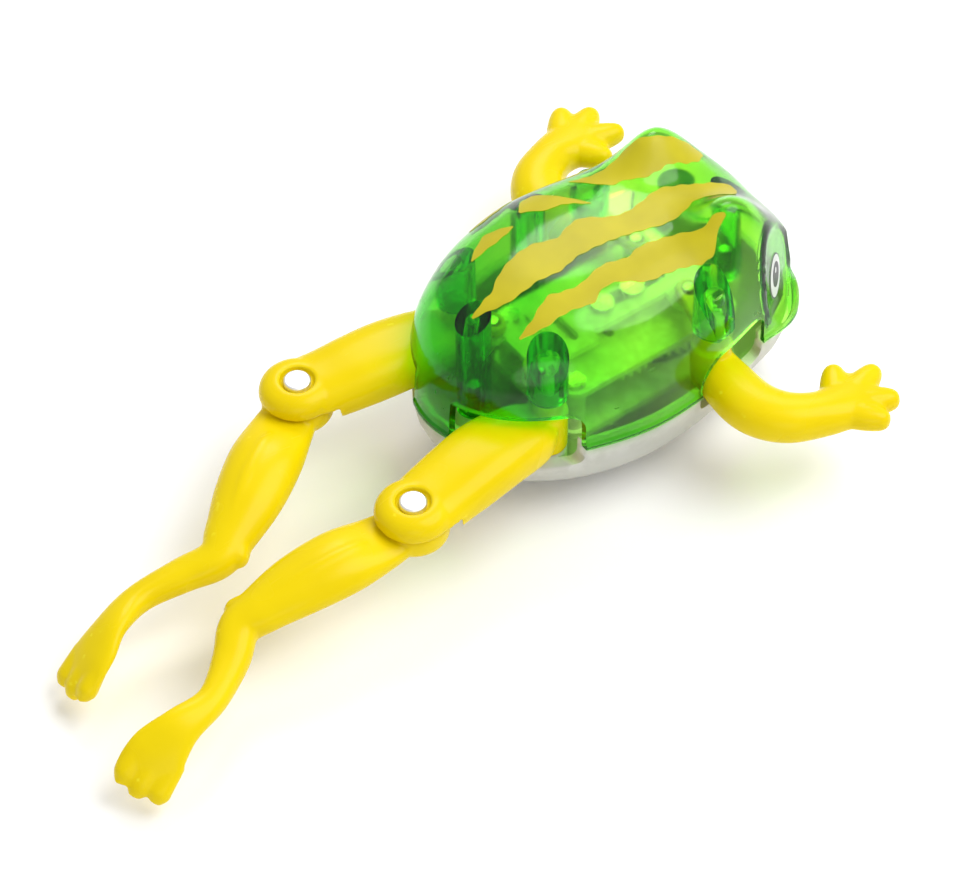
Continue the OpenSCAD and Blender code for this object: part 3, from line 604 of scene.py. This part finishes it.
def smoothedCopy(node, name):
    # a merged copy of a CAD node, shaded smooth
    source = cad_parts[node]
    piece = source.copy()
    piece.data = source.data.copy()
    for key in list(piece.keys()):
        if key.startswith("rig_"):
            del piece[key]
    bpy.context.scene.collection.objects.link(piece)
    piece.parent = None
    piece.matrix_world = Matrix()
    piece.name = name
    pick(piece)
    bpy.ops.object.mode_set(mode="EDIT")
    bpy.ops.mesh.select_all(action="SELECT")
    bpy.ops.mesh.remove_doubles(threshold=0.000002)
    bpy.ops.object.mode_set(mode="OBJECT")
    smoothShade(piece, 32)
    return piece


bottomShell = smoothedCopy("bottom_shell", "bottomShell")
dress(bottomShell, shadeDarkenedWhitePlastic, "casing", "casing_white", "bottom_shell")
print("bottom shell:", len(bottomShell.data.polygons), "faces")


stripes = {
    # y from tail to snout, middle x, half width; the edges wave
    "backStripe": [(25.6, -0.6, 0.2), (23.0, -0.7, 1.1), (20.5, -0.9, 1.8), (17.5, 0.0, 2.9),
                   (13.5, 0.8, 3.5), (9.5, 0.6, 3.9), (5.5, 0.3, 2.8), (2.0, 0.9, 3.4),
                   (-1.0, 0.8, 3.5), (-4.5, -0.6, 2.6),
                   (-8.0, -1.4, 2.6), (-12.0, -1.6, 3.5), (-15.5, -1.2, 3.7), (-19.0, -0.9, 2.6),
                   (-23.0, -1.6, 2.4), (-27.0, -1.7, 2.2), (-29.3, -1.0, 0.8)],
    "rightStripe": [(22.0, -9.0, 0.2), (19.0, -9.0, 1.0), (16.4, -8.6, 1.7), (14.0, -8.2, 2.1),
                    (11.5, -8.8, 1.9), (8.5, -9.4, 2.0), (5.5, -8.4, 1.7), (2.5, -8.4, 2.1),
                    (-1.5, -9.9, 2.7), (-4.8, -9.7, 3.2),
                    (-8.5, -10.2, 3.2), (-12.0, -11.5, 2.9), (-14.6, -12.4, 1.8), (-17.0, -11.4, 1.0),
                    (-18.8, -11.6, 0.3)],
    "leftStripe": [(-5.8, 14.6, 0.2), (-7.4, 12.4, 1.3), (-9.6, 10.2, 2.3), (-12.0, 9.5, 2.5),
                   (-14.6, 8.7, 3.2), (-17.2, 8.4, 3.3), (-20.2, 7.4, 2.2), (-23.4, 6.7, 2.0),
                   (-26.2, 6.7, 1.6), (-28.6, 7.0, 0.4)],
    "shoulderFleck": [(5.8, 13.0, 0.3), (4.2, 13.4, 1.9), (2.4, 13.0, 3.1), (0.6, 12.6, 2.9),
                      (-1.4, 10.4, 1.6),
                      (-3.0, 8.2, 0.8), (-4.3, 6.5, 0.2)],
    "hipFleck": [(18.6, 9.2, 0.2), (16.4, 10.2, 1.0), (13.6, 11.1, 1.7), (11.4, 11.0, 1.3),
                 (9.0, 10.6, 0.2)],
    "flankFleck": [(12.4, 18.3, 0.2), (10.4, 18.6, 0.8), (7.6, 19.2, 1.0), (4.6, 19.8, 0.8),
                   (2.4, 20.0, 0.2)]}
filmLook = {"lift": 0.05, "height": 0.05, "across": 14, "ripple": 0.12}


def stripeFilm(name, rows):
    # a ribbon drawn flat over the back, laid down on the dome and given its thickness
    rows = smoothRows(rows, 8)
    across = filmLook["across"]
    deselectAll()
    bpy.ops.mesh.primitive_grid_add(x_subdivisions=across, y_subdivisions=len(rows) - 1, size=mm)
    film = bpy.context.object
    for index, vertex in enumerate(film.data.vertices):
        row, column = divmod(index, across + 1)
        y, x, half = rows[row]
        ripple = filmLook["ripple"] * math.sin(y * 2.1 + x) * min(1, half)
        u = column / across * 2 - 1
        x += u * (max(half, 0.05) + ripple)
        vertex.co = Vector((x, y, 0)) * mm
    for vertex in film.data.vertices:
        x, y = vertex.co.x / mm, vertex.co.y / mm
        vertex.co = flattenBrow((x, y, domeHeight(x, y)), 0) + Vector((0, 0, filmLook["lift"]))
        vertex.co = vertex.co * mm
    recalculate(film)
    applyModifier(film, "SOLIDIFY", thickness=filmLook["height"] * mm, offset=1)
    film.name = name
    smoothShade(film, 50)
    return dress(film, stripePaint, "casing", "casing_green")


for stripeName, rows in stripes.items():
    stripeFilm(stripeName, rows)
print("stripes painted")


eyeLook = {"wide": 3.2, "tall": 4.2, "rim": 1.07, "pupil": 0.6, "pupilShift": (0.3, 0.1)}


def eyeFilm(name, side, scale, lift, material, shift):
    # an oval laid on the flat beside the brow
    facing = browFacing(side)
    x, y, z = casing["eyeCentre"]
    across = Vector((-facing.y, facing.x, 0)).normalized()
    up = facing.cross(across).normalized()
    if up.z < 0:
        across, up = -across, -up
    deselectAll()
    bpy.ops.mesh.primitive_circle_add(vertices=48, radius=mm, fill_type="NGON")
    film = bpy.context.object
    bpy.ops.object.mode_set(mode="EDIT")
    for ringNumber in range(5):
        bpy.ops.mesh.inset(thickness=0.16 * mm)
    bpy.ops.object.mode_set(mode="OBJECT")
    for vertex in film.data.vertices:
        u = vertex.co.x / mm * scale * eyeLook["wide"] + shift[0]
        v = vertex.co.y / mm * scale * eyeLook["tall"] + shift[1]
        start = (Vector((x * side, y, z)) + across * u + up * v + facing * 5) * mm
        hit, place, normal, face = topShell.ray_cast(start, -facing, distance=14 * mm)
        vertex.co = place + facing * lift * mm if hit else start - facing * 5 * mm
    recalculate(film)
    applyModifier(film, "SOLIDIFY", thickness=0.04 * mm, offset=1)
    film.name = name + ("Left" if side > 0 else "Right")
    smoothShade(film, 50)
    dress(film, material, "casing", "casing_green")


def layEye(side):
    eyeFilm("eyeBase", side, eyeLook["rim"] + 0.01, 0.02, eyeWhite, (0, 0))
    eyeFilm("eyeRim", side, eyeLook["rim"], 0.07, eyeBlack, (0, 0))
    eyeFilm("eyeBall", side, 1.0, 0.12, eyeWhite, (0, 0))
    eyeFilm("pupil", side, eyeLook["pupil"], 0.17, eyeBlack, eyeLook["pupilShift"])
    eyeFilm("glint", side, 0.14, 0.22, eyeWhite, (0.2, 1.2))


for side in (-1, 1):
    layEye(side)
print("eyes painted")


limb = {
    "ankle": 12.8,
    "hip": (13.1, 19.2), "shoulder": (17.4, -12.2), "splay": 7.0,
    "thigh": 30.5, "shank": 34.0, "foot": 33.0, "footWidth": 10.4, "arm": 15.4,
    "kneeRadius": 6.6, "foldRight": 9.7, "foldLeft": 40.2,
    "hubRadius": 3.6, "hubNeck": 2.6, "hubLow": 13.4, "hubMid": 22.1, "hubTop": 25.2,
    "leverLow": 23.0, "leverHigh": 25.0, "hipLever": 7.0, "armLever": 10.1, "hipLeverTurn": 20.8,
    "armLeverTurn": 14.75, "post": 2.08, "pin": 1.15,
    "voxel": 0.3, "smoothing": 5}


def handSide(side):
    return Matrix.Scale(-1, 4, (1, 0, 0)) if side < 0 else Matrix()


def atHip(side):
    return handSide(side) @ Matrix.Translation((limb["hip"][0] * mm, limb["hip"][1] * mm, 0))


def alongThigh(side):
    return atHip(side) @ Matrix.Rotation(math.radians(-limb["splay"]), 4, "Z")


def atKnee(side):
    fold = limb["foldLeft"] if side > 0 else limb["foldRight"]
    return (alongThigh(side) @ Matrix.Translation((0, limb["thigh"] * mm, 0))
            @ Matrix.Rotation(math.radians(fold), 4, "Z"))


def atShoulder(side):
    return handSide(side) @ Matrix.Translation((limb["shoulder"][0] * mm, limb["shoulder"][1] * mm, 0))


def hubForms(toWorld, lever, turn):
    # the sleeve on its post and the lever that the yoke pushes
    turned = toWorld @ Matrix.Rotation(math.radians(180 + turn), 4, "Z")
    far = lever / math.cos(math.radians(turn)) + 0.3
    return [rod("hub", (0, 0), limb["hubRadius"], limb["hubLow"], limb["hubMid"], toWorld=toWorld),
            rod("neck", (0, 0), limb["hubNeck"], limb["hubMid"] - 1, limb["hubTop"], toWorld=toWorld),
            box("lever", (0, -2.15, limb["leverLow"]), (far, 2.15, limb["leverHigh"]), turned),
            rod("leverEnd", (far, 0), 2.15, limb["leverLow"], limb["leverHigh"], toWorld=turned)]


def hubCutters(toWorld, lever, turn):
    turned = toWorld @ Matrix.Rotation(math.radians(180 + turn), 4, "Z")
    far = lever / math.cos(math.radians(turn)) + 0.3
    return [rod("bore", (0, 0), limb["post"], limb["hubLow"] - 1, limb["hubTop"] + 1, toWorld=toWorld),
            box("slot", (lever - 0.3, -limb["pin"], 22), (far, limb["pin"], 27), turned),
            rod("slotIn", (lever - 0.3, 0), limb["pin"], 22.1, 27.1, toWorld=turned),
            rod("slotOut", (far, 0), limb["pin"], 22.2, 27.2, toWorld=turned)]


def finishLimb(name, forms, cutters, body, node):
    piece = joinPieces(name, forms)
    recalculate(piece)
    fuse(piece, limb["voxel"], 3)
    for cutter in cutters:
        recalculate(cutter)
        cutWith(piece, cutter)
    fuse(piece, limb["voxel"] * 0.85, limb["smoothing"])
    recalculate(piece)
    smoothShade(piece, 70)
    print(name + ":", len(piece.data.polygons), "faces")
    return dress(piece, yellowPlastic, body, "limb_yellow", node)


def makeThigh(side):
    word = "Left" if side > 0 else "Right"
    k, r = limb["thigh"], limb["kneeRadius"]
    z, t, w = 18.05, 4.05, 14.0
    here = alongThigh(side)
    forms = hubForms(atHip(side), limb["hipLever"], limb["hipLeverTurn"])
    forms.append(loft("thighForm", limbRings([
        [0, 1.0, z, 8.4, t * 0.8, t * 0.8, 2.6, 0],
        [-0.3, 4.5, z + 0.5, w * 0.86, t, t, 2.8, 0],
        [-0.6, 12, z + 1.1, w, t * 1.06, t * 1.06, 2.7, 0],
        [-0.5, k * 0.6, z + 0.8, w, t * 1.06, t * 1.06, 2.7, 0],
        [-0.3, k - 6, z + 0.3, w * 0.96, t, t, 2.6, 0],
        [0, k - 2, z, 2 * r, t * 0.98, t * 0.98, 2.5, 0],
        [0, k + 1, z, 2 * r - 1, t * 0.9, t * 0.9, 2.5, 0],
        [0, k + 2, z, 2 * r - 5, t * 0.7, t * 0.7, 2.5, 0]], 5, 48, here)))
    # the domed end over the lap
    forms.append(lathe("lapDome", (0, k), [
        (0.1, 17), (r - 0.4, 17), (r, 17.6), (r, 19.6), (r - 0.25, 20.5), (r - 0.8, 21.2),
        (r - 1.6, 21.75), (r - 2.6, 22.05), (0.1, 22.15)], toWorld=here))
    cutters = hubCutters(atHip(side), limb["hipLever"], limb["hipLeverTurn"])
    cutters += [rod("rivetHole", (0, k), 1.6, 0, 30, toWorld=here),
                rod("rivetSeat", (0, k), 3.0, 21.0, 30, toWorld=here),
                rod("lap", (0, k), r + 1.6, 0, 18.6, toWorld=here),
                box("lapEnd", (-20, k, -1), (20, k + 20, 18.6), here),
                # the hollow underside
                loft("hollow", limbRings([
                    [0, 7.6, 14.6, 6.4, 3.0, 4, 2.6, 0], [-0.5, 12, 14.8, 10.2, 4.4, 5, 2.8, 0],
                    [-0.5, k - 11, 14.6, 10.2, 4.4, 5, 2.8, 0],
                    [0, k - 8, 14.4, 8, 3.2, 4, 2.6, 0]], 4, 32, here))]
    return finishLimb("thigh" + word, forms, cutters, "thigh_" + word.lower(), "thigh_" + word.lower())


def footRow(out, along, drop, width, thick, roll):
    # out and along are shares of the foot's length, drop is how far below the ankle
    place = [limb["foot"] * out, limb["shank"] + limb["foot"] * along, limb["ankle"] - drop]
    return place + [width, thick, thick, 2.3, roll]


def toeForm(i, here):
    roll = -26
    w = limb["footWidth"] * 0.36
    rows = [footRow(0.4, 0.70, 4.2, w * 0.8, 1.2, roll),
            footRow(0.43, 0.81, 6.8, w * 1.02, 1.6, roll),
            footRow(0.44, 0.86 if i == 0 else 0.84, 8.3 if i == 0 else 7.7, w, 1.6, roll),
            footRow(0.45, 0.893 if i == 0 else 0.873, 9.2 if i == 0 else 8.6, w * 0.5, 0.8, roll)]
    first, last = Vector(rows[0][:3]), Vector(rows[-1][:3])
    side = (last - first).cross(Vector((0, 0, 1))).normalized()
    up = side.cross(last - first).normalized()
    turn = math.radians(roll)
    shift = (side * math.cos(turn) + up * math.sin(turn)) * i * limb["footWidth"] * 0.31
    for row in rows:
        for n in range(3):
            row[n] += shift[n]
    return loft("toe", limbRings(rows, 5, 24, here))


def makeShank(side):
    word = "Left" if side > 0 else "Right"
    s, w = limb["shank"], limb["footWidth"]
    here = atKnee(side)
    r = limb["kneeRadius"] - 0.4
    forms = [lathe("lapDisc", (0, 0), [(0.1, 13.9), (r - 1.2, 13.9), (r - 0.3, 14.5), (r, 15.4), (r, 17.2),
                                       (r - 0.2, 18.0), (r - 0.6, 18.35), (0.1, 18.35)], toWorld=here)]
    forms.append(loft("shankForm", limbRings([
        [0, 2, 16.2, 9.4, 2, 2.2, 2.4, 0],
        [0.2, s * 0.2, 16.1, 11, 2.1, 3, 2.3, 0],
        [0.2, s * 0.42, 15.8, 12.8, 3.9, 3.5, 2.1, 0],
        [0, s * 0.66, 15, 12, 3.8, 3.4, 2.0, 0],
        [0.1, s * 0.86, 13.8, 9.4, 3.3, 3, 2.0, 0],
        footRow(0.02, 0.01, 0.1, 7.2, 2.9, 0),
        footRow(0.15, 0.14, 1.2, 6.4, 2.5, -6),
        footRow(0.3, 0.34, 1.8, 5.2, 2.2, -10),
        footRow(0.36, 0.55, 1.8, w * 0.66, 1.7, -26),
        footRow(0.39, 0.7, 3.8, w * 0.94, 1.5, -26),
        footRow(0.42, 0.8, 6.3, w, 1.3, -26),
        footRow(0.435, 0.845, 7.8, w * 0.9, 1.0, -26),
        footRow(0.44, 0.855, 8.2, w * 0.7, 0.6, -26)], 6, 40, here)))
    # heel, a blunt point on the inner side
    forms.append(loft("heel", limbRings([
        [-1.0, s * 0.86, 13.6, 5, 2.6, 2.4, 2, 0], [-2.6, s * 0.95, 13.2, 3.8, 2.2, 2.0, 2, 0],
        [-3.6, s * 1.0, 13.1, 2.2, 1.4, 1.3, 2, 0],
        [-4.0, s * 1.01, 13.1, 0.6, 0.4, 0.4, 2, 0]], 5, 24, here)))
    # soft ridge down the calf
    forms.append(loft("calfRidge", limbRings([
        [0.6, 8, 16.6, 2.0, 1.4, 1, 2, 0], [0.9, 13, 17.3, 4.4, 2.5, 1, 2, 0],
        [0.8, 20, 17.0, 4.8, 2.5, 1, 2, 0],
        [0.5, 27, 15.6, 3.6, 2.2, 1, 2, 0], [0.4, 32, 14.6, 1.2, 1.2, 1, 2, 0]], 5, 20, here)))
    forms += [toeForm(i, here) for i in (-1, 0, 1)]
    cutters = [rod("rivetHole", (0, 0), 1.62, 0, 20, toWorld=here)]
    return finishLimb("shank" + word, forms, cutters, "shank_" + word.lower(), "shank_" + word.lower())


def fingerForm(start, end, thick, here):
    a, b = Vector(start), Vector(end)
    rows = []
    for t, wide, high in ((0, 6.0, 2.5), (0.35, 5.6, 2.4), (0.65, 4.9, 2.2), (0.9, 3.8, 1.9),
                          (1.04, 2.6, 1.4), (1.1, 0.8, 0.5)):
        p = a + (b - a) * t
        rows.append([*p, wide * thick, high * thick, high * thick, 2.1, 0])
    return loft("finger", limbRings(rows, 5, 24, here))


def makeArm(side):
    word = "Left" if side > 0 else "Right"
    m, z = limb["arm"], 17.1
    here = atShoulder(side)
    forms = hubForms(here, limb["armLever"], limb["armLeverTurn"])
    forms.append(loft("armForm", limbRings([
        [0.5, 0, z, 7.6, 3.6, 3.6, 2.4, 0],
        [6, 0.7, z, 9.2, 4.1, 4, 2.3, 0],
        [m * 0.82, 0.5, z, 9.8, 4.1, 4, 2.2, 0],
        [m * 1.14, -2.4, z, 9.2, 3.8, 3.9, 2.2, 0],
        [m * 1.33, -7.6, z, 8.2, 3.4, 3.6, 2.2, 0],
        [m * 1.38, -12.4, z, 9.8, 2.9, 3, 2.2, 0],
        [m * 1.4, -16.2, z, 11.2, 2.4, 2.4, 2.2, 0],
        [m * 1.4, -18.6, z, 7, 1.6, 1.6, 2.2, 0]], 6, 40, here)))
    forms += [fingerForm((m * 1.5, -12, z), (m + 13.1, -15.6, z + 0.2), 1, here),
              fingerForm((m * 1.45, -14.5, z), (m + 10, -20.2, z), 1, here),
              fingerForm((m * 1.34, -14.5, z), (m + 3, -21.2, z + 0.3), 1, here),
              fingerForm((m * 1.28, -12, z), (m - 1.2, -15.4, z + 0.5), 1, here)]
    cutters = hubCutters(here, limb["armLever"], limb["armLeverTurn"])
    return finishLimb("arm" + word, forms, cutters, "arm_" + word.lower(), "arm_" + word.lower())


rivetLook = {"head": 2.35, "low": 20.9, "top": 22.1, "dish": 0.12, "tail": 13.0}


def makeRivet(side):
    word = "Left" if side > 0 else "Right"
    here = alongThigh(side) @ Matrix.Translation((0, limb["thigh"] * mm, 0))
    h, low, top = rivetLook["head"], rivetLook["low"], rivetLook["top"]
    piece = lathe("kneeRivet" + word, (0, 0), [
        (0.1, rivetLook["tail"]), (1.9, rivetLook["tail"]), (2.15, rivetLook["tail"] + 0.2),
        (2.1, 13.7), (1.45, 13.8), (1.45, low), (h - 0.15, low), (h, low + 0.15), (h, top - 0.35),
        (h - 0.12, top - 0.12), (h - 0.4, top), (h - 0.75, top - 0.04), (h - 1.1, top - rivetLook["dish"]),
        (0.6, top - rivetLook["dish"] * 0.7), (0.1, top - rivetLook["dish"] * 0.6)], toWorld=here)
    recalculate(piece)
    smoothShade(piece, 40)
    return dress(piece, rivetMetal, "thigh_" + word.lower(), "rivet", "knee_rivet_" + word.lower())


for side in (-1, 1):
    makeThigh(side)
    makeShank(side)
    makeArm(side)
    makeRivet(side)
print("limbs made")


gearNodes = ["great_wheel", "second_gear", "crank_gear", "crank_disc", "governor", "motor_base_plate",
             "motor_top_plate", "motor_pillars", "yoke"]
steelNodes = ["casing_screws", "winding_arbor", "ratchet_wheel", "click", "second_shaft", "crank_shaft",
              "governor_shaft", "motor_screws", "yoke_pins", "yoke_guides"]
springNodes = ["mainspring", "click_spring"]
for names, material in ((gearNodes, gearPlastic), (steelNodes, steel), (springNodes, blueSteel),
                        (["knob_seal"], blackRubber), (["winding_knob"], shadeDarkenedWhitePlastic)):
    for nodeName in names:
        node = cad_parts[nodeName]
        node.data.materials.clear()
        node.data.materials.append(material)
print("clockwork finished")


studio = {"floor": 3.0, "floorTone": (0.97, 0.97, 0.97), "world": 0.60,
          "keyPower": 5.0, "keySize": 0.7, "fillSize": 0.6, "fillPower": 1.2, "topSize": 0.42, "topPower": 2.2}


def makeFloor():
    deselectAll()
    bpy.ops.mesh.primitive_plane_add(size=studio["floor"], location=(0, 0, 0))
    floor = bpy.context.object
    floor.name = "floor"
    material, tree, shader, place = startMaterial("paleFloor")
    tone = studio["floorTone"]
    color = mixColors(tree, addNoise(tree, place, 8, 2), tone, tuple(c * 0.985 for c in tone))
    tree.links.new(color, shader.inputs["Base Color"])
    shader.inputs["Roughness"].default_value = 0.7
    floor.data.materials.append(material)


def softLamp(name, place, aim, size, power, shape="DISK"):
    deselectAll()
    bpy.ops.object.light_add(type="AREA", location=place)
    lamp = bpy.context.object
    lamp.name = name
    lamp.data.shape = shape
    lamp.data.size = size
    lamp.data.energy = power
    lamp.rotation_euler = (Vector(aim) - Vector(place)).to_track_quat("-Z", "Y").to_euler()
    return lamp


makeFloor()
middle = (0, 0.03, 0.02)
softLamp("keyPanel", (-0.25, -0.35, 0.75), middle, studio["keySize"], studio["keyPower"])
softLamp("fillPanel", (-0.8, 0.5, 0.45), middle, studio["fillSize"], studio["fillPower"])
softLamp("topPanel", (0.45, -0.32, 0.62), middle, studio["topSize"], studio["topPower"])
world = bpy.data.worlds.new("studioWorld")
world.use_nodes = True
world.node_tree.nodes["Background"].inputs["Color"].default_value = (1, 1, 1, 1)
world.node_tree.nodes["Background"].inputs["Strength"].default_value = studio["world"]
bpy.context.scene.world = world
bpy.context.scene.view_settings.view_transform = "Standard"

view = {"azimuth": 233.924, "elevation": 48.073, "distance": 809.06,
        "aim": (-12.395, 33.019, 22.0), "lens": 182.8}
azimuth, elevation = math.radians(view["azimuth"]), math.radians(view["elevation"])
towards = Vector((math.sin(azimuth) * math.cos(elevation), -math.cos(azimuth) * math.cos(elevation),
                  math.sin(elevation)))
deselectAll()
bpy.ops.object.camera_add(location=(Vector(view["aim"]) + towards * view["distance"]) * mm)
camera = bpy.context.object
camera.rotation_euler = (-towards).to_track_quat("-Z", "Y").to_euler()
camera.data.lens = view["lens"]
camera.data.sensor_width = 36
camera.data.clip_start = 0.05
bpy.context.scene.camera = camera
print("stage set")
